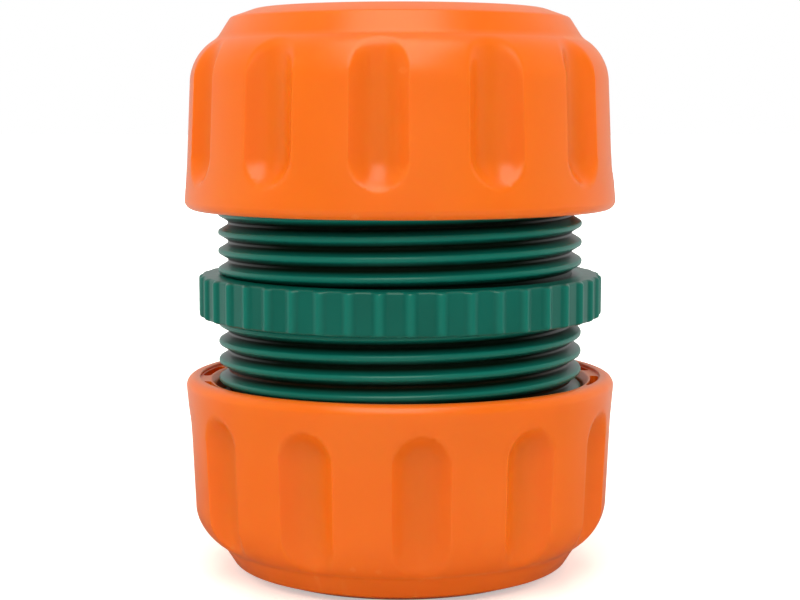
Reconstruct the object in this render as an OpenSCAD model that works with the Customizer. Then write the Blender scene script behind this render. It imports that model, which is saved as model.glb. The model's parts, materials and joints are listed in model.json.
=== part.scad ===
// Hose mender for 19 mm garden hose: a threaded body with a hose tail at each end, two
// fluted nuts screwed part of the way on, and a split gripping collet inside each nut.
// Millimetres. The mender stands on the end of its lower nut, with its axis along +Z.

/* [Hose] */
// Inside radius of the hose
hose_bore_r = 9.5; // [7:0.1:10.2]
// Outside radius of the hose
hose_r = 13; // [12.4:0.1:13.4]
// Room around the hose in the hole of a nut's end
hose_play = 0.2; // [0.1:0.05:0.4]
// Wall of a hose tail between its barbs
tail_wall = 1.5; // [1.2:0.05:3]
// How far the tail's barbs stand out past the hose's bore
barb_bite = 0.25; // [0.1:0.05:0.5]
// Barbs on each tail
barb_n = 4; // [2:1:5]
// Length of one barb
barb_len = 3.2; // [2.4:0.1:3.6]
// Length of the land at the top of a barb
barb_land = 1.2; // [0.6:0.1:1.6]

/* [Thread] */
// Rise of the thread in one turn
thread_pitch = 2; // [1.8:0.1:2.4]
// Height of the body's thread
thread_depth = 1.05; // [0.8:0.05:1.2]
// Play between the body's thread and a nut's, measured along the radius
thread_play = 0.25; // [0.2:0.05:0.35]
// Play between their flanks, measured along the axis
flank_play = 0.15; // [0.1:0.05:0.25]
// Straight stretches in one turn of thread
thread_steps = 30; // [24:2:36]
// Angle where the upper thread leaves the flange
upper_thread_start = 33; // [0:1:360]
// Angle where the lower thread leaves the flange, seen from below
lower_thread_start = -11; // [-180:1:180]

/* [Body] */
// How far the flange's ribs stand out past the thread's crest
flange_rise = 2.1; // [1.5:0.1:3.5]
// Thickness of the flange
flange_t = 4.5; // [3.6:0.1:7]
// Ribs around the flange
rib_n = 44; // [24:1:60]
// Width of a rib
rib_w = 0.9; // [0.6:0.05:1.4]
// Height of a rib
rib_h = 0.35; // [0.2:0.05:0.6]
// Angle of the first rib
rib_phase = -87.7; // [-180:0.1:180]
// Bevel at the flange's edges
flange_bevel = 0.75; // [0.4:0.05:1.2]
// Length of a threaded sleeve past the flange
sleeve_len = 13.75; // [13:0.05:15]
// Wall of a threaded sleeve under its thread
sleeve_wall = 1.95; // [1.2:0.05:2.5]
// Room around a collet in the sleeve
sleeve_room = 0.8; // [0.3:0.05:1.2]
// Thickness of the web between the sleeves
web_t = 3; // [2:0.1:5]
// How far a tail's tip stops short of the end of a nut that is fully tight
tail_short = 0.35; // [0.1:0.05:2]

/* [Nut] */
// Wall of the lip, the widest part of a nut, outside its bore
lip_wall = 3.25; // [3.15:0.05:4]
// Radius of the rounding of the lip
lip_round = 1; // [0.6:0.05:1.1]
// Distance from the mouth to where the lip runs out into the wall
lip_run = 4.4; // [3.5:0.1:6]
// Wall of a nut where the lip runs out, outside its bore
nut_wall = 2.95; // [2.5:0.05:3.2]
// How far that wall draws in on its way to the shoulder
wall_draft = 0.4; // [0.1:0.05:0.6]
// Radius of the shoulder's curve
shoulder_round = 5.35; // [5:0.05:5.6]
// Distance from the end face back to where the shoulder begins
shoulder_h = 7.9; // [7.6:0.1:8.4]
// How far the foot of the collar stands in from the start of the shoulder
collar_in = 3.15; // [2.7:0.05:3.5]
// Distance from the end face back to the foot of the collar's slope
collar_h = 2.7; // [2.4:0.1:3]
// How far the collar's outer corner stands in from its foot
corner_in = 1.15; // [0.6:0.05:1.6]
// Height of the sloping ring between the corner and the end face
end_slope_h = 0.95; // [0.5:0.05:1.4]
// Width of the flat ring around the hose hole
end_rim = 2.1; // [1.4:0.1:3]
// Thickness of the end wall
end_wall = 1.8; // [1.2:0.1:2.4]
// Flutes around a nut
flute_n = 12; // [8:1:14]
// Radius of a flute's round groove
flute_round = 3.2; // [2.6:0.1:3.6]
// Wall between the bore and a flute's floor, where the flute leaves through the shoulder
flute_wall = 0.75; // [0.6:0.05:1.4]
// Lean of a flute's floor towards the nut's end, in degrees
flute_lean = 1.4; // [0:0.1:2]
// Distance from the mouth to the rounded start of a flute
flute_start = 3.1; // [2.4:0.1:5]
// Angle from the start of the nut's thread to its first flute
flute_phase = 27.8; // [0:0.1:45]
// Depth of the pockets cored in the mouth, behind the lands
pocket_depth = 5; // [2:0.1:6]
// Wall between the pockets and the thread
pocket_wall = 0.75; // [0.6:0.05:0.9]
// Width of the pockets, from the thread's side to the lip's
pocket_w = 1; // [0.6:0.05:1.2]
// Share of the way around that the pockets take
pocket_share = 0.52; // [0.4:0.01:0.6]
// How far the ring inside the lip stands back from the mouth
mouth_step = 0.4; // [0:0.05:0.8]
// Distance from the mouth to the start of a nut's thread
nut_thread_start = 1.5; // [1.2:0.1:2.5]
// Length along the axis that a nut's thread covers
nut_thread_len = 9.2; // [6:0.1:11]
// How far the upper nut is unscrewed off the flange
upper_gap = 6.95; // [1:0.01:8]
// How far the lower nut is unscrewed off the flange
lower_gap = 6.36; // [1:0.01:8]

/* [Collet] */
// Wall of a collet's shaft
collet_wall = 2.3; // [1.8:0.1:2.6]
// Length of a collet
collet_len = 16; // [13.5:0.1:18]
// Height of the ring that joins the fingers
collet_ring = 3; // [2:0.1:5]
// Fingers of a collet
finger_n = 10; // [6:1:14]
// Width of the slots between the fingers
finger_slot = 1.6; // [0.8:0.1:2.2]
// Wall of a finger at its tip
finger_tip = 1.8; // [1.4:0.1:2.2]
// Height of the cone that closes the fingers
cone_h = 3.5; // [2.5:0.1:4.2]
// Widening of the cone for each millimetre of its height
cone_slope = 0.77; // [0.5:0.01:0.9]
// Height of the bead below the cone
bead_h = 1.2; // [0.8:0.1:1.8]
// Height of the lip in the nut that the bead snaps past
snap_h = 0.4; // [0.3:0.05:0.8]
// How far the bead stands out past that lip
snap_catch = 0.5; // [0.3:0.05:0.7]
// Rows of teeth inside a collet
tooth_n = 3; // [1:1:3]
// Height of a tooth
tooth_h = 0.4; // [0.2:0.05:0.5]
// Distance between the rows of teeth
tooth_pitch = 1.4; // [1:0.1:1.6]
// Play of a collet in its nut
collet_play = 0.2; // [0.1:0.05:0.3]

/* [Hidden] */
green = [0.04, 0.40, 0.36];
orange = [0.96, 0.44, 0.13];
white = [0.90, 0.89, 0.86];

// Facets of the round surfaces, and how far a cut runs past what it cuts
$fn = 96;
over = 1;

// Radii of the collet from the hose outwards: bore, shaft, tip and bead
collet_bore_r = hose_r + tooth_h;
shaft_r = collet_bore_r + collet_wall;
tip_r = collet_bore_r + finger_tip;
bead_r = tip_r + cone_slope * cone_h;
side_play = 1.5 * collet_play;
// Place of the first row of teeth and half of a tooth's foot, as shares of their pitch
first_tooth = 0.8;
half_tooth = 0.45 * tooth_pitch;

// Radii of the body from the collet outwards: sleeve, thread and the nuts' thread on it
sleeve_bore_r = shaft_r + sleeve_room;
root_r = sleeve_bore_r + sleeve_wall;
thread_r = root_r + thread_depth;
bore_r = thread_r + thread_play;
nut_crest_r = root_r + thread_play;

// Thread: the slope of its flanks, its crest's width and rounding, how deep its foot is
// sunk in the wall, and the angle and the least share of its height in which it runs out
flank_slope = 0.5;
thread_crest = thread_pitch / 2 - flank_slope * (thread_depth - thread_play) - flank_play;
crest_round = 0.12;
sunk = 0.3;
run_out = 60;
run_out_least = 0.15;

// Body, measured from the middle of the flange
flange_half = flange_t / 2;
flange_r = thread_r + flange_rise;
valley_r = flange_r - rib_h;
sleeve_end = flange_half + sleeve_len;
sleeve_bevel = 0.6;
barb_r = hose_bore_r + barb_bite;
tail_r = hose_bore_r - barb_bite;
water_way_r = tail_r - tail_wall;
thread_inset = 0.35;
body_thread_start = flange_half - thread_inset;
body_thread_end = sleeve_end - sleeve_bevel;

// Nut, measured from its mouth: the sleeve's room, the snap lip, the bead's room, the
// collet's cone and the end wall follow one another
end_play = 0.15;
seat_h = sleeve_len + end_play;
cone_foot_h = seat_h + snap_h + bead_h + side_play;
floor_h = cone_foot_h + cone_h;
nut_len = floor_h + end_wall;
lead_in = 0.6;
entry_bevel = 0.6;
shoulder_start = nut_len - shoulder_h;
flute_step = 360 / flute_n;

// Radii of the nut from its bore outwards, and of its end
lip_r = bore_r + lip_wall;
wall_r = bore_r + nut_wall;
shoulder_r = wall_r - wall_draft;
collar_r = shoulder_r - collar_in;
corner_r = collar_r - corner_in;
flute_floor_r = bore_r + flute_wall;
pocket_in_r = bore_r + pocket_wall;
pocket_r = pocket_in_r + pocket_w;
hose_hole_r = hose_r + hose_play;
end_r = hose_hole_r + end_rim;

// Collet, measured from the mouth of its nut
collet_top = floor_h - collet_play;
collet_foot = collet_top - collet_len;

// Tail's tip from the middle of the flange, and the middle's height above the ground
tail_end = flange_half + nut_len - tail_short;
middle_h = nut_len + lower_gap + flange_half;

// Turn of a nut that keeps its thread half a pitch from the body's, for its gap off the
// flange and the angle where the body's thread starts
function nut_turn(gap, start) =
    start + 360 * (flange_half + gap + nut_thread_start - body_thread_start) / thread_pitch - 180;

// One section of the thread at angle a and height z: from its foot at foot_r up one
// flank, over the crest at tip_r and down the other
function thread_section(foot_r, tip_r, a, z) =
    let (side = sign(tip_r - foot_r),
         half_crest = thread_crest / 2 + flank_slope * crest_round,
         half_foot = thread_crest / 2 + flank_slope * abs(tip_r - foot_r))
    [for (p = [[foot_r, -half_foot], [tip_r - side * crest_round, -half_crest], [tip_r, 0],
               [tip_r - side * crest_round, half_crest], [foot_r, half_foot]])
        [p[0] * cos(a), p[0] * sin(a), z + p[1]]];

// Right-handed ridge that winds up from z = 0 at the angle start, out of a wall at wall_r
// to a crest at crest_r, which may lie outside the wall or inside it
module thread(wall_r, crest_r, length, start) {
    side = sign(crest_r - wall_r);
    foot_r = wall_r - side * sunk;
    n = floor(thread_steps * length / thread_pitch);
    fade = thread_steps * run_out / 360;
    points = [for (i = [0:n])
        let (share = max(run_out_least, min(1, i / fade, (n - i) / fade)))
        each thread_section(foot_r, foot_r + (crest_r - foot_r) * share,
                            start + 360 * i / thread_steps, thread_pitch * i / thread_steps)];
    walls = [for (i = [0:n - 1], j = [0:4])
        let (a = 5 * i + j, b = 5 * i + (j + 1) % 5)
        each [[a, b, a + 5], [b, b + 5, a + 5]]];
    caps = [for (j = [1:3]) each [[0, j + 1, j], [5 * n, 5 * n + j, 5 * n + j + 1]]];
    faces = [for (f = concat(walls, caps)) side > 0 ? f : [for (k = [len(f) - 1:-1:0]) f[k]]];
    polyhedron(points, faces);
}

// Outline of the flange at radius r, bevelled at both edges
module flange_outline(r) {
    polygon([[sleeve_bore_r, -flange_half], [r - flange_bevel, -flange_half],
             [r, flange_bevel - flange_half], [r, flange_half - flange_bevel],
             [r - flange_bevel, flange_half], [sleeve_bore_r, flange_half]]);
}

// Flange with its ribs, which reach its full radius
module flange() {
    rotate_extrude() flange_outline(valley_r);
    intersection() {
        rotate_extrude() flange_outline(flange_r);
        for (i = [0:rib_n - 1])
            rotate(rib_phase + 360 * i / rib_n)
                translate([valley_r - over, -rib_w / 2, -flange_half])
                    cube([rib_h + 2 * over, rib_w, flange_t]);
    }
}

// Threaded sleeve, solid, with a bevel at its end where a nut starts
module sleeve(start) {
    rotate_extrude() polygon([
        [0, 0], [root_r, 0], [root_r, sleeve_end - sleeve_bevel],
        [root_r - sleeve_bevel, sleeve_end], [0, sleeve_end]]);
    translate([0, 0, body_thread_start])
        thread(root_r, thread_r, body_thread_end - body_thread_start, start);
}

// Hose tail with its barbs, which are steep towards the flange and slope to the tip
module tail() {
    foot = tail_end - barb_n * barb_len;
    rotate_extrude() polygon([
        [0, 0], [tail_r, 0], [tail_r, foot],
        for (i = [0:barb_n - 1])
            let (z = foot + i * barb_len)
            each [[barb_r, z], [barb_r, z + barb_land], [tail_r, z + barb_len]],
        [0, tail_end]]);
}

// One half of the body, from the middle of the flange up
module half_body(start) {
    difference() {
        sleeve(start);
        translate([0, 0, web_t / 2]) cylinder(r = sleeve_bore_r, h = sleeve_end);
    }
    tail();
}

// Body: one moulding of the flange, two threaded sleeves, the web and two tails
module body() {
    color(green) translate([0, 0, middle_h]) difference() {
        union() {
            flange();
            half_body(upper_thread_start);
            rotate([180, 0, 0]) half_body(lower_thread_start);
        }
        translate([0, 0, -tail_end - over]) cylinder(r = water_way_r, h = 2 * (tail_end + over));
    }
}

// Outside of a nut: lip, drafted wall, round shoulder, collar and sloping end
module nut_outline() {
    lip_in = lip_r - lip_round;
    curve_in = shoulder_r - shoulder_round;
    polygon([[0, 0], [lip_in, 0], [lip_in, lip_round], [lip_r, lip_round], [wall_r, lip_run],
             [shoulder_r, shoulder_start], [curve_in, shoulder_start], [0, shoulder_start]]);
    translate([lip_in, lip_round]) circle(r = lip_round);
    intersection() {
        translate([curve_in, shoulder_start]) circle(r = shoulder_round);
        translate([0, shoulder_start]) square([shoulder_r, shoulder_h - end_slope_h]);
    }
    polygon([[0, shoulder_start], [collar_r, shoulder_start], [collar_r, nut_len - collar_h],
             [corner_r, nut_len - end_slope_h], [end_r, nut_len], [0, nut_len]]);
}

// Room in a nut: mouth, thread bore, snap lip, bead room, collet cone and hose hole
module nut_room() {
    snap_r = bead_r - snap_catch;
    room_r = bead_r + side_play;
    polygon([[0, -over], [pocket_r, -over], [pocket_r, mouth_step],
             [bore_r + lead_in, mouth_step], [bore_r, mouth_step + lead_in], [bore_r, seat_h],
             [snap_r, seat_h], [snap_r, seat_h + snap_h], [room_r, seat_h + snap_h],
             [room_r, cone_foot_h], [tip_r + side_play, floor_h], [hose_hole_r, floor_h],
             [hose_hole_r, nut_len - entry_bevel],
             [hose_hole_r + entry_bevel, nut_len], [hose_hole_r + entry_bevel, nut_len + over],
             [0, nut_len + over]]);
}

// Cutter of one flute: a groove with a round start that leans in towards the nut's end
module flute() {
    centre_r = flute_floor_r + flute_round;
    start_r = centre_r + tan(flute_lean) * (shoulder_start - flute_start);
    start_h = flute_start + sqrt(pow(flute_round, 2) - pow(start_r - wall_r, 2));
    run = (nut_len - collar_h - start_h) / cos(flute_lean);
    translate([centre_r, 0, nut_len - collar_h]) rotate([0, -flute_lean, 0]) {
        translate([0, 0, -run]) cylinder(r = flute_round, h = run + over);
        translate([0, 0, -run]) sphere(r = flute_round);
    }
}

// Cutter of one pocket, a short curved slot with round ends, centred on the X axis
module pocket() {
    half = 180 * pocket_share / flute_n;
    width = pocket_r - pocket_in_r;
    rotate(-half) rotate_extrude(angle = 2 * half)
        translate([pocket_in_r, -over]) square([width, pocket_depth + over]);
    for (a = [-half, half])
        rotate(a) translate([pocket_in_r + width / 2, 0, -over])
            cylinder(r = width / 2, h = pocket_depth + over);
}

// Nut with its mouth at z = 0, its end up and its thread's start on the X axis
module nut() {
    color(orange) {
        difference() {
            rotate_extrude() nut_outline();
            rotate_extrude() nut_room();
            for (i = [0:flute_n - 1]) rotate(flute_phase + i * flute_step) {
                flute();
                rotate(flute_step / 2) pocket();
            }
        }
        translate([0, 0, nut_thread_start]) thread(bore_r, nut_crest_r, nut_thread_len, 0);
    }
}

// Half section of a collet: toothed bore, shaft, bead and cone
module collet_outline() {
    bead_top = collet_top - cone_h;
    bead_foot = bead_top - bead_h;
    polygon([
        [collet_bore_r, collet_foot], [shaft_r, collet_foot], [shaft_r, bead_foot],
        [bead_r, bead_foot], [bead_r, bead_top], [tip_r, collet_top],
        [collet_bore_r, collet_top],
        for (i = [0:tooth_n - 1])
            let (z = collet_top - (i + first_tooth) * tooth_pitch)
            each [[collet_bore_r, z + half_tooth], [hose_r, z], [collet_bore_r, z - half_tooth]]]);
}

// Collet in the place that it has in a nut whose mouth is at z = 0
module collet() {
    color(white) difference() {
        rotate_extrude() collet_outline();
        for (i = [0:finger_n - 1])
            rotate(360 * i / finger_n)
                translate([collet_bore_r - over, -finger_slot / 2, collet_foot + collet_ring])
                    cube([bead_r, finger_slot, collet_len]);
    }
}

// Places for what belongs to the upper and to the lower half, with z = 0 at the nut's mouth
module upper_place() {
    translate([0, 0, middle_h + flange_half + upper_gap]) children();
}

module lower_place() {
    translate([0, 0, middle_h - flange_half - lower_gap]) rotate([180, 0, 0]) children();
}

module upper_nut() {
    upper_place() rotate(nut_turn(upper_gap, upper_thread_start)) nut();
}

module lower_nut() {
    lower_place() rotate(nut_turn(lower_gap, lower_thread_start)) nut();
}

module upper_collet() {
    upper_place() collet();
}

module lower_collet() {
    lower_place() collet();
}

body();
upper_nut();
lower_nut();
upper_collet();
lower_collet();
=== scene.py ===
# %% [markdown]
# # Hose mender
# A hose mender joins two cut ends of a garden hose. Its green body has a hose tail and a
# thread at each end, and a fluted orange nut on each thread squeezes a split collet on to
# the hose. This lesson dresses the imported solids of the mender: it turns, screws and
# flutes finer meshes in the same places, gives them a moulded finish, and sets up the
# studio. Every length is written in millimetres and becomes metres when a piece is placed.

# %% Load the frame and keep its box
import json
import math

import bmesh
import bpy
from mathutils import Matrix, Vector

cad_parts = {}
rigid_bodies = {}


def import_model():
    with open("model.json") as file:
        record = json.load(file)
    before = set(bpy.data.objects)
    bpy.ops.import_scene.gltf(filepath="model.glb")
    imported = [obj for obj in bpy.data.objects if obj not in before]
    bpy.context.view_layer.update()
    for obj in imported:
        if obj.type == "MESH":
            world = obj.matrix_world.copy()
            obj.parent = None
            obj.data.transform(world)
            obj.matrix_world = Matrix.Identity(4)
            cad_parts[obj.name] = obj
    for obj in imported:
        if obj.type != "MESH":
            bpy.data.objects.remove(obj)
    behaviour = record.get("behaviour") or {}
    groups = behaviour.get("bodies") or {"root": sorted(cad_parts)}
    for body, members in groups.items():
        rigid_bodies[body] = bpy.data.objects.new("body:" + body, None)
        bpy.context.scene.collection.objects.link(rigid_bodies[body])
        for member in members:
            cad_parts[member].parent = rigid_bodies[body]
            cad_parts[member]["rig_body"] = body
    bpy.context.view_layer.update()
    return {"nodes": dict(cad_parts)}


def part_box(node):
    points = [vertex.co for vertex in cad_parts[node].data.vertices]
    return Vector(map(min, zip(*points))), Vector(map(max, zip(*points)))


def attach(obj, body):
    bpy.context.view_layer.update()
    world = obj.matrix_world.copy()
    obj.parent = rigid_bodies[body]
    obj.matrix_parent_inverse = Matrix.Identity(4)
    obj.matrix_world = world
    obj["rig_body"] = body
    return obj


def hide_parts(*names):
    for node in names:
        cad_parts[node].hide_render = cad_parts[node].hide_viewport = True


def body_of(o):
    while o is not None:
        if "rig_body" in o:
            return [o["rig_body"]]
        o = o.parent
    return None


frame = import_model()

# %% [markdown]
# ## Places
# The body stands with the middle of its flange halfway up its own box. Each nut's mouth
# faces the flange, so the upper nut's mouth is the foot of its box and the lower nut's the
# top. Reading the places from the solids keeps the pieces on them without any fitting.

# %% Measure where the body and the nuts stand
MM = 0.001
body_low, body_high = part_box("body")
middle_h = (body_low.z + body_high.z) / 2 / MM
upper_mouth_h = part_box("upper_nut")[0].z / MM
lower_mouth_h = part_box("lower_nut")[1].z / MM
nut_len = (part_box("upper_nut")[1].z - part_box("upper_nut")[0].z) / MM
print(f"flange at {middle_h:.2f}, mouths at {lower_mouth_h:.2f} and {upper_mouth_h:.2f} mm")


def placed(height, turn=0.0, upside_down=False):
    """From a piece's own place in millimetres to the frame: turned, tipped and raised."""
    tip = Matrix.Rotation(math.pi if upside_down else 0.0, 4, "X")
    lift = Matrix.Translation((0, 0, height * MM))
    return lift @ tip @ Matrix.Rotation(math.radians(turn), 4, "Z") @ Matrix.Scale(MM, 4)


# %% [markdown]
# ## Camera
# The photograph looks at the mender from the front and a little above, at about the
# distance of a hand. The lens and tilt are worked out from the ellipses of the flange and
# the rims, so the camera is set by numbers and not pointed by eye.

# %% Set up the camera
camera_data = bpy.data.cameras.new("camera")
camera_data.sensor_width = 36
camera_data.lens = 82.26
camera_data.clip_start = 0.01
camera = bpy.data.objects.new("camera", camera_data)
camera.location = (0, -0.1964, 0.04977)
camera.rotation_euler = (math.radians(83.95), 0, 0)
bpy.context.scene.collection.objects.link(camera)
bpy.context.scene.camera = camera
print(f"camera {camera.location.length * 1000:.0f} mm away, lens {camera_data.lens} mm")

# %% [markdown]
# ## Helpers: a section, turning and screwing
# Nearly every surface of a moulded mender is turned round its axis. So a piece starts as
# one flat section: a face whose corners are softened with a vertex bevel, as the corners
# of a mould are. The face is then dropped and its outline is spun. A spin that also climbs
# by one pitch in each turn is a screw, which makes the threads from one small section.


# %% Draw a section with softened corners
def section(corners, segments=4):
    """A new bmesh with a closed outline from (radius, height, rounding) corners."""
    bm = bmesh.new()
    verts = [bm.verts.new((r, 0, z)) for r, z, _ in corners]
    bm.faces.new(verts)
    for rounding in sorted({corner[2] for corner in corners} - {0}):
        soft = [v for v, corner in zip(verts, corners) if corner[2] == rounding]
        bmesh.ops.bevel(
            bm,
            geom=soft,
            affect="VERTICES",
            offset=rounding,
            offset_type="OFFSET",
            segments=segments,
            profile=0.5,
            material=-1,
        )
    bmesh.ops.delete(bm, geom=bm.faces[:], context="FACES_ONLY")
    return bm


# %% [markdown]
# A spin of many hundred steps is slow, because each step searches the mesh that is there
# already. What repeats round the axis is quicker: one sector is spun, then copied round
# with a second spin that duplicates, and the copies are welded where they meet.


# %% Turn one sector and repeat it round
def turn_sector(bm, sectors, steps):
    """Spins the outline through one sector of the circle."""
    bmesh.ops.spin(
        bm,
        geom=bm.verts[:] + bm.edges[:],
        cent=(0, 0, 0),
        axis=(0, 0, 1),
        angle=math.tau / sectors,
        steps=steps,
    )


def repeat_sector(bm, sectors):
    """Copies the sector round the axis and welds the copies into one closed skin."""
    bmesh.ops.spin(
        bm,
        geom=bm.verts[:] + bm.edges[:] + bm.faces[:],
        cent=(0, 0, 0),
        axis=(0, 0, 1),
        angle=math.tau * (sectors - 1) / sectors,
        steps=sectors - 1,
        use_duplicate=True,
    )
    bmesh.ops.remove_doubles(bm, verts=bm.verts[:], dist=1e-4)
    bmesh.ops.recalc_face_normals(bm, faces=bm.faces[:])


def arc(centre_r, centre_z, radius, start, stop, count):
    """Corners along an arc, from the angle start to stop, in degrees."""
    angles = [math.radians(start + (stop - start) * i / count) for i in range(count + 1)]
    return [(centre_r + radius * math.cos(a), centre_z + radius * math.sin(a), 0) for a in angles]


# %% Make a finished piece from a bmesh
def finish_piece(name, bm, place, material, smooth_to=32):
    """Puts the mesh in its place in the frame, smooths it and gives it its finish."""
    bmesh.ops.transform(bm, matrix=place, verts=bm.verts[:])
    mesh = bpy.data.meshes.new(name)
    bm.to_mesh(mesh)
    bm.free()
    mesh.shade_smooth()
    mesh.set_sharp_from_angle(angle=math.radians(smooth_to))
    mesh.materials.append(material)
    piece = bpy.data.objects.new(name, mesh)
    bpy.context.scene.collection.objects.link(piece)
    print(f"{name}: {sum(len(p.vertices) - 2 for p in mesh.polygons)} triangles")
    return piece


# %% [markdown]
# ## Moulded plastic
# The real pieces are satin polypropylene: an even colour that drifts a little where the
# melt flowed, a fine grain from the mould, and long faint flow lines that only show in the
# gloss. Convex edges are painted paler: partly wear from handling, partly a painted
# highlight where the rounded edges catch the light. On the green body, bands by distance
# from the axis paint shade into the thread roots and highlights on the thread crests and on
# the rib bars. All of it is worked out from the place on the object, so it stays put from
# any side and can be baked.


# %% Mix a moulded plastic
def moulded_plastic(name, colour, deep, worn_and_lit, gloss, glow=0.0, shade_and_highlight_bands=()):
    """A satin plastic: colour drifts to deep, convex edges turn paler (wear and a painted
    highlight), bands paint shade and highlights by radius, gloss is its roughness.
    """
    material = bpy.data.materials.new(name)
    material.use_nodes = True
    nodes, links = material.node_tree.nodes, material.node_tree.links
    shader = nodes["Principled BSDF"]
    shader.inputs["IOR"].default_value = 1.49
    shader.inputs["Subsurface Weight"].default_value = glow
    shader.inputs["Subsurface Radius"].default_value = (1.0, 0.3, 0.1)
    shader.inputs["Subsurface Scale"].default_value = 0.003
    place = nodes.new("ShaderNodeTexCoord").outputs["Object"]

    def noise(scale, detail, stretch=None):
        texture = nodes.new("ShaderNodeTexNoise")
        texture.inputs["Scale"].default_value = scale
        texture.inputs["Detail"].default_value = detail
        source = place
        if stretch:
            mapping = nodes.new("ShaderNodeMapping")
            mapping.inputs["Scale"].default_value = stretch
            links.new(place, mapping.inputs["Vector"])
            source = mapping.outputs["Vector"]
        links.new(source, texture.inputs["Vector"])
        return texture.outputs["Fac"]

    def ranged(value, low, high, to_low, to_high):
        node = nodes.new("ShaderNodeMapRange")
        node.inputs["From Min"].default_value = low
        node.inputs["From Max"].default_value = high
        node.inputs["To Min"].default_value = to_low
        node.inputs["To Max"].default_value = to_high
        links.new(value, node.inputs["Value"])
        return node.outputs["Result"]

    def mixed(factor, first, second):
        node = nodes.new("ShaderNodeMix")
        node.data_type = "RGBA"
        links.new(factor, node.inputs["Factor"])
        for socket, value in (("A", first), ("B", second)):
            target = [i for i in node.inputs if i.name == socket and i.type == "RGBA"][0]
            if isinstance(value, tuple):
                target.default_value = (*value, 1)
            else:
                links.new(value, target)
        return [o for o in node.outputs if o.type == "RGBA"][0]

    def product(first, second):
        node = nodes.new("ShaderNodeMath")
        node.operation = "MULTIPLY"
        links.new(first, node.inputs[0])
        links.new(second, node.inputs[1])
        return node.outputs["Value"]

    drift = ranged(noise(110, 3), 0.35, 0.7, 0, 1)
    # Convex edges turn paler: partly wear from handling, partly a painted highlight along edges
    # that catch the light.
    edge = ranged(nodes.new("ShaderNodeNewGeometry").outputs["Pointiness"], 0.52, 0.6, 0, 0.5)
    rubbed_and_lit = product(edge, ranged(noise(420, 4), 0.4, 0.62, 0.25, 1))
    tinted = mixed(drift, colour, deep)
    finish = mixed(rubbed_and_lit, tinted, worn_and_lit)
    axis = nodes.new("ShaderNodeVectorMath")
    axis.operation = "MULTIPLY"
    axis.inputs[1].default_value = (1 / MM, 1 / MM, 0)
    links.new(place, axis.inputs[0])
    from_axis = nodes.new("ShaderNodeVectorMath")
    from_axis.operation = "LENGTH"
    links.new(axis.outputs["Vector"], from_axis.inputs[0])
    # The bands paint shade and highlights into the colour by distance from the axis: each fades
    # in from start_r to full_r and out from fade_r to end_r.
    for start_r, full_r, fade_r, end_r, tint in shade_and_highlight_bands:
        rising = ranged(from_axis.outputs["Value"], start_r, full_r, 0, 1)
        falling = ranged(from_axis.outputs["Value"], fade_r, end_r, 1, 0)
        finish = mixed(product(rising, falling), finish, tint)
    links.new(finish, shader.inputs["Base Color"])

    flow = ranged(noise(420, 2, (1, 1, 0.2)), 0, 1, gloss - 0.03, gloss + 0.03)
    links.new(flow, shader.inputs["Roughness"])

    sink = nodes.new("ShaderNodeBump")
    sink.inputs["Distance"].default_value = 0.0001
    sink.inputs["Strength"].default_value = 0.12
    links.new(noise(170, 2), sink.inputs["Height"])
    grain = nodes.new("ShaderNodeBump")
    grain.inputs["Distance"].default_value = 0.00001
    grain.inputs["Strength"].default_value = 0.25
    links.new(noise(7000, 2), grain.inputs["Height"])
    links.new(sink.outputs["Normal"], grain.inputs["Normal"])
    links.new(grain.outputs["Normal"], shader.inputs["Normal"])
    print(name, "mixed")
    return material


orange = moulded_plastic(
    "orange_plastic", (0.86, 0.160, 0.009), (0.84, 0.148, 0.007), (0.91, 0.25, 0.05), 0.31, 0.3
)
green = moulded_plastic(
    "green_plastic",
    (0.001, 0.118, 0.096),
    (0.001, 0.102, 0.082),
    (0.015, 0.20, 0.165),
    0.31,
    shade_and_highlight_bands=(
        # painted shade: near black in the thread roots and on the flange face beside the threads
        (17.9, 18.3, 18.6, 19.25, (0.002, 0.008, 0.004)),
        # painted highlight along the thread crests
        (19.25, 19.42, 19.6, 19.8, (0.003, 0.165, 0.134)),
        # painted highlight on the flange's rib bars, where they catch the light
        (21.3, 21.55, 22.0, 23.0, (0.002, 0.155, 0.126)),
    ),
)
white = moulded_plastic(
    "white_plastic", (0.72, 0.71, 0.67), (0.66, 0.65, 0.60), (0.80, 0.79, 0.76), 0.42
)

# %% [markdown]
# ## Threads
# The thread is a ridge with straight flanks, a rounded crest and a hollow foot, winding up
# at two millimetres a turn. It could be faked with stacked rings, but a nut wouldn't run on
# those. Spinning the ridge's section with a small climb at each step gives the real screw,
# a quarter turn at a time, and its ends then sink into the wall as a moulded thread's do.

# %% Set the thread's sizes
thread_pitch = 2.0
thread_steps = 96
root_r = 18.45
thread_r = 19.5
bore_r = 19.75
nut_crest_r = 18.7
sunk = 0.3
run_out = 60


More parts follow.
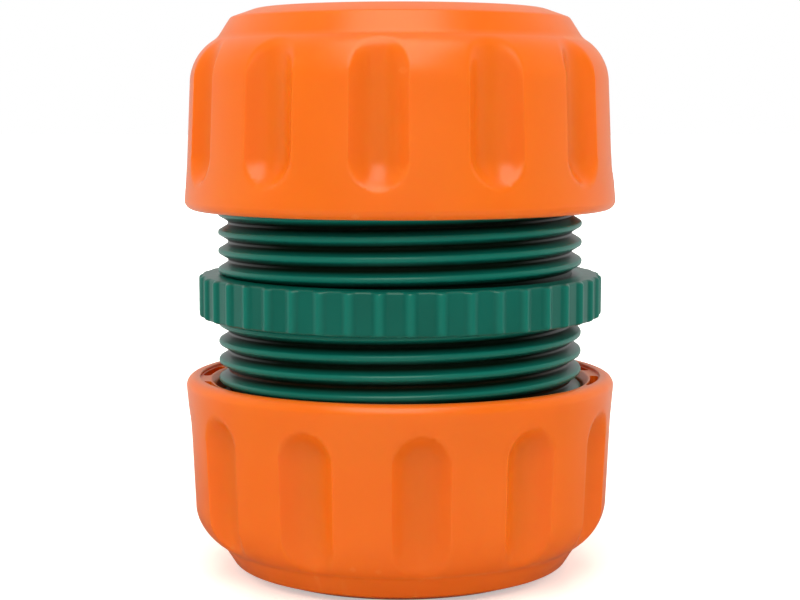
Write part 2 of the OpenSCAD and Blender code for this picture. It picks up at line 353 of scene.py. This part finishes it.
# %% Screw a ridge up a wall
def thread(wall_r, crest_r, foot_z, length, start):
    """A bmesh of a right-handed ridge from a wall at wall_r to crest_r, from foot_z up."""
    bm = bmesh.new()
    out = 1 if crest_r > wall_r else -1
    foot_r = wall_r - out * sunk
    depth = abs(crest_r - wall_r)
    half = [
        (foot_r, 0.97),
        (wall_r - out * 0.04, 0.96),
        (wall_r + out * 0.03, 0.86),
        (wall_r + out * 0.14, 0.745),
        (wall_r + out * (depth - 0.20), 0.325),
        (wall_r + out * (depth - 0.09), 0.255),
        (wall_r + out * (depth - 0.02), 0.13),
    ]
    ridge = [(r, -z) for r, z in half] + [(crest_r, 0)] + [(r, z) for r, z in reversed(half)]
    verts = [bm.verts.new((r, 0, foot_z + z)) for r, z in ridge]
    edges = [bm.edges.new((a, b)) for a, b in zip(verts, verts[1:] + verts[:1])]
    to_start = Matrix.Rotation(math.radians(start), 3, "Z")
    bmesh.ops.rotate(bm, verts=verts, cent=(0, 0, 0), matrix=to_start)
    quarters = int(4 * length / thread_pitch)
    bmesh.ops.spin(
        bm,
        geom=verts + edges,
        cent=(0, 0, 0),
        axis=(0, 0, 1),
        dvec=(0, 0, thread_pitch / thread_steps),
        angle=math.pi / 2,
        steps=thread_steps // 4,
    )
    bmesh.ops.spin(
        bm,
        geom=bm.verts[:] + bm.edges[:] + bm.faces[:],
        cent=(0, 0, 0),
        axis=(0, 0, 1),
        dvec=(0, 0, thread_pitch / 4),
        angle=math.pi / 2 * (quarters - 1),
        steps=quarters - 1,
        use_duplicate=True,
    )
    bmesh.ops.remove_doubles(bm, verts=bm.verts[:], dist=1e-4)
    turns, fade = quarters / 4, run_out / 360
    for v in bm.verts:
        part = (math.degrees(math.atan2(v.co.y, v.co.x)) - start) / 360 % 1
        whole = round((v.co.z - foot_z) / thread_pitch - part)
        done = whole + part
        share = max(0.0, min(1.0, done / fade, (turns - done) / fade))
        share = 0.12 + 0.88 * share * share * (3 - 2 * share)
        r = math.hypot(v.co.x, v.co.y)
        new_r = foot_r + (r - foot_r) * share
        v.co.x *= new_r / r
        v.co.y *= new_r / r
    bmesh.ops.holes_fill(bm, edges=[e for e in bm.edges if e.is_boundary], sides=0)
    bmesh.ops.recalc_face_normals(bm, faces=bm.faces[:])
    return bm


# %% Join one bmesh into another
def join(bm, other):
    """Moves all of another bmesh into bm."""
    mesh = bpy.data.meshes.new("part")
    other.to_mesh(mesh)
    other.free()
    bm.from_mesh(mesh)
    bpy.data.meshes.remove(mesh)


# %% [markdown]
# ## Body
# The body is one green moulding. Its section runs up the water way, over the barbs of the
# hose tail, down to the web, up the inside of the sleeve and down its outside, and the same
# the other way up. One spin makes it all. The flange is a ring of its own inside the same
# mesh, because its ribs need many more steps round than the plain sleeve does.

# %% Set the body's sizes
flange_half = 2.25
sleeve_end = 16.0
sleeve_bore_r = 16.5
web_half = 1.5
tail_end = (body_high.z - body_low.z) / 2 / MM
tail_r = 9.25
barb_r = 9.75
water_way_r = 7.75
barb_len = 3.2
barb_land = 1.2
barb_n = 4

# %% Draw and turn the sleeves, the web and the tails
half_body = [(water_way_r, tail_end, 0.25), (tail_r, tail_end, 0.25)]
tail_foot = tail_end - barb_n * barb_len
for i in reversed(range(barb_n)):
    z = tail_foot + i * barb_len
    half_body += [(barb_r, z + barb_land, 0.12), (barb_r, z, 0.1), (tail_r, z, 0.08)]
half_body += [
    (tail_r, web_half, 0.4),
    (sleeve_bore_r, web_half, 0.4),
    (sleeve_bore_r, sleeve_end, 0.2),
    (root_r - 0.6, sleeve_end, 0.2),
    (root_r, sleeve_end - 0.6, 0.2),
]
body_bm = section(half_body + [(r, -z, soft) for r, z, soft in reversed(half_body)])
turn_sector(body_bm, 8, 24)
repeat_sector(body_bm, 8)
print("sleeves and tails:", len(body_bm.faces), "faces")

# %% [markdown]
# ### Ribbed flange
# Forty-four narrow ribs help a wet hand hold the body. Between them the flange is nearly
# flat, as it was cut in the mould, and each rib is a small round bar. Separate bars would
# leave hard creases, so the ring is turned fine and its rim is pushed out at each rib.

# %% Turn the flange and raise its ribs
flange_r = 21.6
rib_h = 0.35
rib_n = 44
rib_w = 0.9
rib_phase = -87.25
flange_bevel = 0.2
rib_end = 0.55
valley_r = flange_r - rib_h
rib_step = math.tau / rib_n
flange_bm = section(
    [
        (18.1, flange_half, 0),
        (valley_r - flange_bevel, flange_half, 0.08),
        (valley_r, flange_half - flange_bevel, 0.08),
        *((valley_r, flange_half - rib_end * share, 0) for share in (0.55, 0.7, 0.85, 1)),
        *((valley_r, rib_end * share - flange_half, 0) for share in (1, 0.85, 0.7, 0.55)),
        (valley_r, flange_bevel - flange_half, 0.08),
        (valley_r - flange_bevel, -flange_half, 0.08),
        (18.1, -flange_half, 0),
    ]
)
turn_sector(flange_bm, rib_n, 20)
for v in flange_bm.verts:
    r = math.hypot(v.co.x, v.co.y)
    off_flat = math.atan2(v.co.y, v.co.x) - rib_step / 2
    off_rib = rib_step / 2 - abs(off_flat)
    rim = max(0.0, min(1.0, (r - (valley_r - 1.3)) / 0.5))
    flat = valley_r * (math.cos(rib_step / 2) / math.cos(off_flat) - 1)
    reach = min(1.0, off_rib * valley_r / (rib_w * 0.85))
    to_end = max(0.0, min(1.0, 1 - (flange_half - abs(v.co.z)) / rib_end))
    bar = rib_h * math.cos(reach * math.pi / 2) ** 1.3 * math.sqrt(1 - to_end**2)
    new_r = r + rim * (flat + bar)
    v.co.x *= new_r / r
    v.co.y *= new_r / r
repeat_sector(flange_bm, rib_n)
to_phase = Matrix.Rotation(math.radians(rib_phase), 3, "Z")
bmesh.ops.rotate(flange_bm, verts=flange_bm.verts[:], cent=(0, 0, 0), matrix=to_phase)
join(body_bm, flange_bm)
print("flange with", rib_n, "ribs added")

# %% Screw both threads on and finish the body
thread_start = flange_half - 0.35
thread_len = sleeve_end - 1.0 - thread_start
join(body_bm, thread(root_r, thread_r, thread_start, thread_len, 33))
lower_thread = thread(root_r, thread_r, thread_start, thread_len, -11)
turned_over = Matrix.Rotation(math.pi, 3, "X")
bmesh.ops.rotate(lower_thread, verts=lower_thread.verts[:], cent=(0, 0, 0), matrix=turned_over)
join(body_bm, lower_thread)
body = finish_piece("mender_body", body_bm, placed(middle_h), green)
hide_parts("body")
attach(body, body_of(frame["nodes"]["body"])[0])

# %% [markdown]
# ## Nuts
# Both nuts are the same orange moulding. The section goes round the fat lip, up the drafted
# wall, over the round shoulder, up the sloping collar and over the end, then back down the
# inside: hose hole, collet's cone, bead room, snap lip and threaded bore.

# %% Set the nut's sizes
lip_r = 23.0
wall_r = 22.7
shoulder_r = 22.3
shoulder_start = nut_len - 7.9
shoulder_round = 5.35
hose_hole_r = 13.2
mouth_step = 0.4
pocket_in_r = 20.5
pocket_out_r = 21.42
seat_h = 13.9
floor_h = nut_len - 1.8
bead_room_r = 18.195
flute_n = 12

# %% Draw the nut's section
nut_corners = [
    (21.5, mouth_step, 0.1),
    (21.5, 0, 0.15),
    *arc(22.0, 1.0, 1.0, -90, 0, 10),
    (wall_r, 4.4, 0.9),
    (shoulder_r, shoulder_start, 0),
    *arc(shoulder_r - shoulder_round, shoulder_start, shoulder_round, 4, 58.5, 22),
    (19.385, nut_len - 3.12, 0.42),
    (18.0, nut_len - 0.95, 0.22),
    (15.3, nut_len, 0.35),
    (hose_hole_r + 0.6, nut_len, 0.2),
    (hose_hole_r, nut_len - 0.6, 0.2),
    (hose_hole_r, floor_h, 0.15),
    (15.5, floor_h, 0.15),
    (bead_room_r, 15.8, 0.15),
    (bead_room_r, seat_h + 0.4, 0.1),
    (17.395, seat_h + 0.4, 0.1),
    (17.395, seat_h, 0.1),
    (bore_r, seat_h, 0.2),
    (bore_r, mouth_step + 0.6, 0.15),
    (bore_r + 0.6, mouth_step, 0.08),
    (pocket_in_r, mouth_step, 0),
    (pocket_out_r, mouth_step, 0),
]


# %% [markdown]
# ### Flutes
# The grip is twelve round grooves that start as a ball near the lip and run out through the
# shoulder. Cutting them with a Boolean would leave knife edges. Instead the wall is turned
# fine, and each point that lies inside a groove is drawn back to the groove's surface. A
# soft maximum of "untouched" and "cut" rounds the edges, as the mould's are.

# %% Work out how deep a flute is at a point
flute_round = 3.2
flute_lean = math.tan(math.radians(1.4))
flute_axis_r = 20.5 + flute_round
flute_exit_h = nut_len - 2.7
flute_ball_h = 6.05
flute_soft = 0.8


def flute_depth(r, angle, z):
    """How far a wall point at r is drawn in by the nearest flute."""
    axis_r = flute_axis_r + flute_lean * (flute_exit_h - z)
    below = max(0.0, flute_ball_h - z)
    across = axis_r * math.sin(angle)
    reach = flute_round**2 - below**2 - across**2
    if reach > 0.01:
        cut = r - (axis_r * math.cos(angle) - math.sqrt(reach))
    else:
        short = math.sqrt(max(0.0, below**2 + across**2))
        cut = r - axis_r * math.cos(angle) + 0.1 - (short - flute_round) * 6
    blend = max(0.0, flute_soft - abs(cut)) / flute_soft
    return max(cut, 0.0) + blend * blend * flute_soft / 4


# %% Cut the flutes and sink the pockets
def nut_mesh():
    """A bmesh of the nut with its mouth at zero and a flute over the X axis."""
    bm = section(nut_corners)
    rows = [e for e in bm.edges if min(v.co.x for v in e.verts) > shoulder_r - 0.1]
    long_rows = [e for e in rows if e.calc_length() > 1.5 and max(v.co.z for v in e.verts) > 2]
    for e in long_rows:
        bmesh.ops.subdivide_edges(bm, edges=[e], cuts=int(e.calc_length() / 0.36))
    turn_sector(bm, flute_n, 48)
    step = math.tau / flute_n
    for v in bm.verts:
        r = math.hypot(v.co.x, v.co.y)
        outside = r > 21.6 or (v.co.z > shoulder_start and r > 19.2)
        if outside and 2.0 < v.co.z < flute_exit_h:
            angle = (math.atan2(v.co.y, v.co.x) + step / 2) % step - step / 2
            new_r = r - flute_depth(r, angle, v.co.z)
            v.co.x *= new_r / r
            v.co.y *= new_r / r
    sink_pocket(bm, step / 2)
    repeat_sector(bm, flute_n)
    return bm


# %% [markdown]
# ### Pockets in the mouth
# The mouth is cored: behind each land between two flutes a short curved pocket saves
# plastic. The faces of the ring inside the lip that lie over a pocket are extruded down,
# and the pocket's ends are then drawn together so that they are round.

# %% Sink one pocket behind each land
pocket_depth = 5.0
pocket_half = math.radians(9.375)


def sink_pocket(bm, land):
    """Extrudes a pocket, centred on the angle land, out of the flat ring inside the lip."""

    def off_land(co):
        return math.atan2(co.y, co.x) - land

    floors = []
    for face in bm.faces:
        middle = face.calc_center_median()
        r = math.hypot(middle.x, middle.y)
        flat = abs(middle.z - mouth_step) < 0.01
        if flat and pocket_in_r < r < pocket_out_r and abs(off_land(middle)) < pocket_half:
            floors.append(face)
    result = bmesh.ops.extrude_face_region(bm, geom=floors)
    sunk_verts = [g for g in result["geom"] if isinstance(g, bmesh.types.BMVert)]
    bmesh.ops.translate(bm, verts=sunk_verts, vec=(0, 0, pocket_depth - mouth_step))
    bmesh.ops.delete(bm, geom=[f for f in floors if f.is_valid], context="FACES")
    mid_r = (pocket_in_r + pocket_out_r) / 2
    end_r = (pocket_out_r - pocket_in_r) / 2
    for v in bm.verts:
        r = math.hypot(v.co.x, v.co.y)
        near = abs(v.co.z - mouth_step) < 0.01 or abs(v.co.z - pocket_depth) < 0.01
        to_end = (pocket_half - abs(off_land(v.co))) * mid_r
        in_ring = pocket_in_r - 0.01 < r < pocket_out_r + 0.01
        if near and in_ring and -0.01 < to_end < end_r:
            width = math.sqrt(end_r**2 - (end_r - max(to_end, 0.03)) ** 2)
            new_r = mid_r + width * (1 if r > mid_r else -1)
            v.co.x *= new_r / r
            v.co.y *= new_r / r


# %% Place the two nuts on the body's threads
flute_phase = 27.8
nut_thread_start = 1.5
nut_thread_len = 9.2


def nut_turn(gap, start):
    """Turn of a nut that keeps its thread half a pitch from the body's."""
    run = flange_half + gap + nut_thread_start - thread_start
    return start + 360 * run / thread_pitch - 180


upper_gap = upper_mouth_h - middle_h - flange_half
lower_gap = middle_h - flange_half - lower_mouth_h
for name, height, turn, upside_down in (
    ("upper_nut", upper_mouth_h, nut_turn(upper_gap, 33), False),
    ("lower_nut", lower_mouth_h, nut_turn(lower_gap, -11), True),
):
    bm = nut_mesh()
    join(bm, thread(bore_r, nut_crest_r, nut_thread_start, nut_thread_len, -flute_phase))
    place = placed(height, turn + flute_phase, upside_down)
    nut = finish_piece("fluted_" + name, bm, place, orange)
    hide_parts(name)
    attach(nut, body_of(frame["nodes"][name])[0])

# %% [markdown]
# ## Collets
# The split collets sit deep inside the nuts, where only their toothed tips show through the
# hose hole. Their solids already have the right shape, so they stay and get a white finish.

# %% Give the collets their finish
for name in ("upper_collet", "lower_collet"):
    collet = frame["nodes"][name]
    for slot in collet.material_slots:
        slot.material = white
    print(name, "finished")

# %% [markdown]
# ## Studio
# The photograph is a plain product shot: one big soft box overhead, a little in front, a
# weaker one at each side, and a bright white background that gives the edges their pale
# rim. The floor and the world show white to the camera, and the floor keeps the shadow.

# %% Lay the floor
floor_bm = bmesh.new()
bmesh.ops.create_grid(floor_bm, x_segments=1, y_segments=1, size=3)
floor_mesh = bpy.data.meshes.new("floor")
floor_bm.to_mesh(floor_mesh)
floor_bm.free()
floor = bpy.data.objects.new("floor", floor_mesh)
bpy.context.scene.collection.objects.link(floor)
floor_material = bpy.data.materials.new("studio_floor")
floor_material.use_nodes = True
nodes, links = floor_material.node_tree.nodes, floor_material.node_tree.links
nodes.remove(nodes["Principled BSDF"])
paper = nodes.new("ShaderNodeBsdfDiffuse")
paper.inputs["Color"].default_value = (0.92, 0.92, 0.92, 1)
glow = nodes.new("ShaderNodeEmission")
path = nodes.new("ShaderNodeLightPath")
seen = nodes.new("ShaderNodeMath")
seen.operation = "MAXIMUM"
links.new(path.outputs["Is Camera Ray"], seen.inputs[0])
links.new(path.outputs["Is Transmission Ray"], seen.inputs[1])
place = nodes.new("ShaderNodeTexCoord")
distance = nodes.new("ShaderNodeVectorMath")
distance.operation = "LENGTH"
links.new(place.outputs["Object"], distance.inputs[0])
far = nodes.new("ShaderNodeMapRange")
far.interpolation_type = "SMOOTHSTEP"
far.inputs["From Min"].default_value = 0.05
far.inputs["From Max"].default_value = 0.2
far.inputs["To Min"].default_value = 0.42
far.inputs["To Max"].default_value = 1.0
links.new(distance.outputs["Value"], far.inputs["Value"])
shown = nodes.new("ShaderNodeMath")
shown.operation = "MULTIPLY"
links.new(seen.outputs["Value"], shown.inputs[0])
links.new(far.outputs["Result"], shown.inputs[1])
links.new(shown.outputs["Value"], glow.inputs["Strength"])
both = nodes.new("ShaderNodeAddShader")
links.new(paper.outputs["BSDF"], both.inputs[0])
links.new(glow.outputs["Emission"], both.inputs[1])
sides = nodes.new("ShaderNodeSeparateXYZ")
links.new(place.outputs["Object"], sides.inputs["Vector"])
back = nodes.new("ShaderNodeMapRange")
back.inputs["From Min"].default_value = -0.02
back.inputs["From Max"].default_value = 0.08
back.inputs["To Min"].default_value = 0.01
back.inputs["To Max"].default_value = 0.7
links.new(sides.outputs["Y"], back.inputs["Value"])
mirrored = nodes.new("ShaderNodeEmission")
links.new(back.outputs["Result"], mirrored.inputs["Strength"])
in_gloss = nodes.new("ShaderNodeMixShader")
links.new(path.outputs["Is Glossy Ray"], in_gloss.inputs["Fac"])
links.new(both.outputs["Shader"], in_gloss.inputs[1])
links.new(mirrored.outputs["Emission"], in_gloss.inputs[2])
links.new(in_gloss.outputs["Shader"], nodes["Material Output"].inputs["Surface"])
floor_mesh.materials.append(floor_material)
print("floor laid")

# %% Light the world
world = bpy.data.worlds.new("studio")
bpy.context.scene.world = world
world.use_nodes = True
nodes, links = world.node_tree.nodes, world.node_tree.links
room = nodes["Background"]
room.inputs["Color"].default_value = (1, 1, 1, 1)
around = nodes.new("ShaderNodeTexCoord")
split = nodes.new("ShaderNodeSeparateXYZ")
links.new(around.outputs["Generated"], split.inputs["Vector"])
beside = nodes.new("ShaderNodeMapRange")
beside.inputs["From Min"].default_value = -0.9
beside.inputs["From Max"].default_value = 0.1
beside.inputs["To Min"].default_value = 0.02
beside.inputs["To Max"].default_value = 0.2
links.new(split.outputs["Y"], beside.inputs["Value"])
links.new(beside.outputs["Result"], room.inputs["Strength"])
behind = nodes.new("ShaderNodeMapRange")
behind.inputs["From Min"].default_value = -0.1
behind.inputs["From Max"].default_value = 0.6
behind.inputs["To Min"].default_value = 0.02
behind.inputs["To Max"].default_value = 0.6
links.new(split.outputs["Y"], behind.inputs["Value"])
mirrored = nodes.new("ShaderNodeBackground")
mirrored.inputs["Color"].default_value = (1, 1, 1, 1)
links.new(behind.outputs["Result"], mirrored.inputs["Strength"])
backdrop = nodes.new("ShaderNodeBackground")
backdrop.inputs["Color"].default_value = (1, 1, 1, 1)
path = nodes.new("ShaderNodeLightPath")
in_gloss = nodes.new("ShaderNodeMixShader")
links.new(path.outputs["Is Glossy Ray"], in_gloss.inputs["Fac"])
links.new(room.outputs["Background"], in_gloss.inputs[1])
links.new(mirrored.outputs["Background"], in_gloss.inputs[2])
seen = nodes.new("ShaderNodeMath")
seen.operation = "MAXIMUM"
links.new(path.outputs["Is Camera Ray"], seen.inputs[0])
links.new(path.outputs["Is Transmission Ray"], seen.inputs[1])
to_camera = nodes.new("ShaderNodeMixShader")
links.new(seen.outputs["Value"], to_camera.inputs["Fac"])
links.new(in_gloss.outputs["Shader"], to_camera.inputs[1])
links.new(backdrop.outputs["Background"], to_camera.inputs[2])
links.new(to_camera.outputs["Shader"], nodes["World Output"].inputs["Surface"])
print("world lit")


# %% Hang the soft boxes
def soft_box(name, location, wide, high, watts, in_gloss=True):
    """An area lamp that faces the middle of the mender."""
    data = bpy.data.lights.new(name, "AREA")
    data.shape = "RECTANGLE"
    data.size = wide
    data.size_y = high
    data.energy = watts
    data.color = (1.0, 0.99, 0.84)
    lamp = bpy.data.objects.new(name, data)
    lamp.location = location
    lamp.visible_glossy = in_gloss
    aim = Vector((0, 0, 0.03)) - Vector(location)
    lamp.rotation_euler = aim.to_track_quat("-Z", "Y").to_euler()
    bpy.context.scene.collection.objects.link(lamp)


soft_box("overhead", (-0.03, -0.25, 0.55), 0.4, 0.72, 2.5)
soft_box("fill", (0, -0.6, 0.35), 0.8, 0.5, 1.85, in_gloss=False)
soft_box("left", (-0.8, 0.1, 0.3), 0.9, 0.8, 3.8, in_gloss=False)
soft_box("right", (0.8, 0.1, 0.3), 0.9, 0.8, 3.8, in_gloss=False)
soft_box("back", (0, 0.8, 0.45), 0.9, 0.8, 3.6, in_gloss=False)
bpy.context.scene.view_settings.view_transform = "Standard"
print("soft boxes hung")
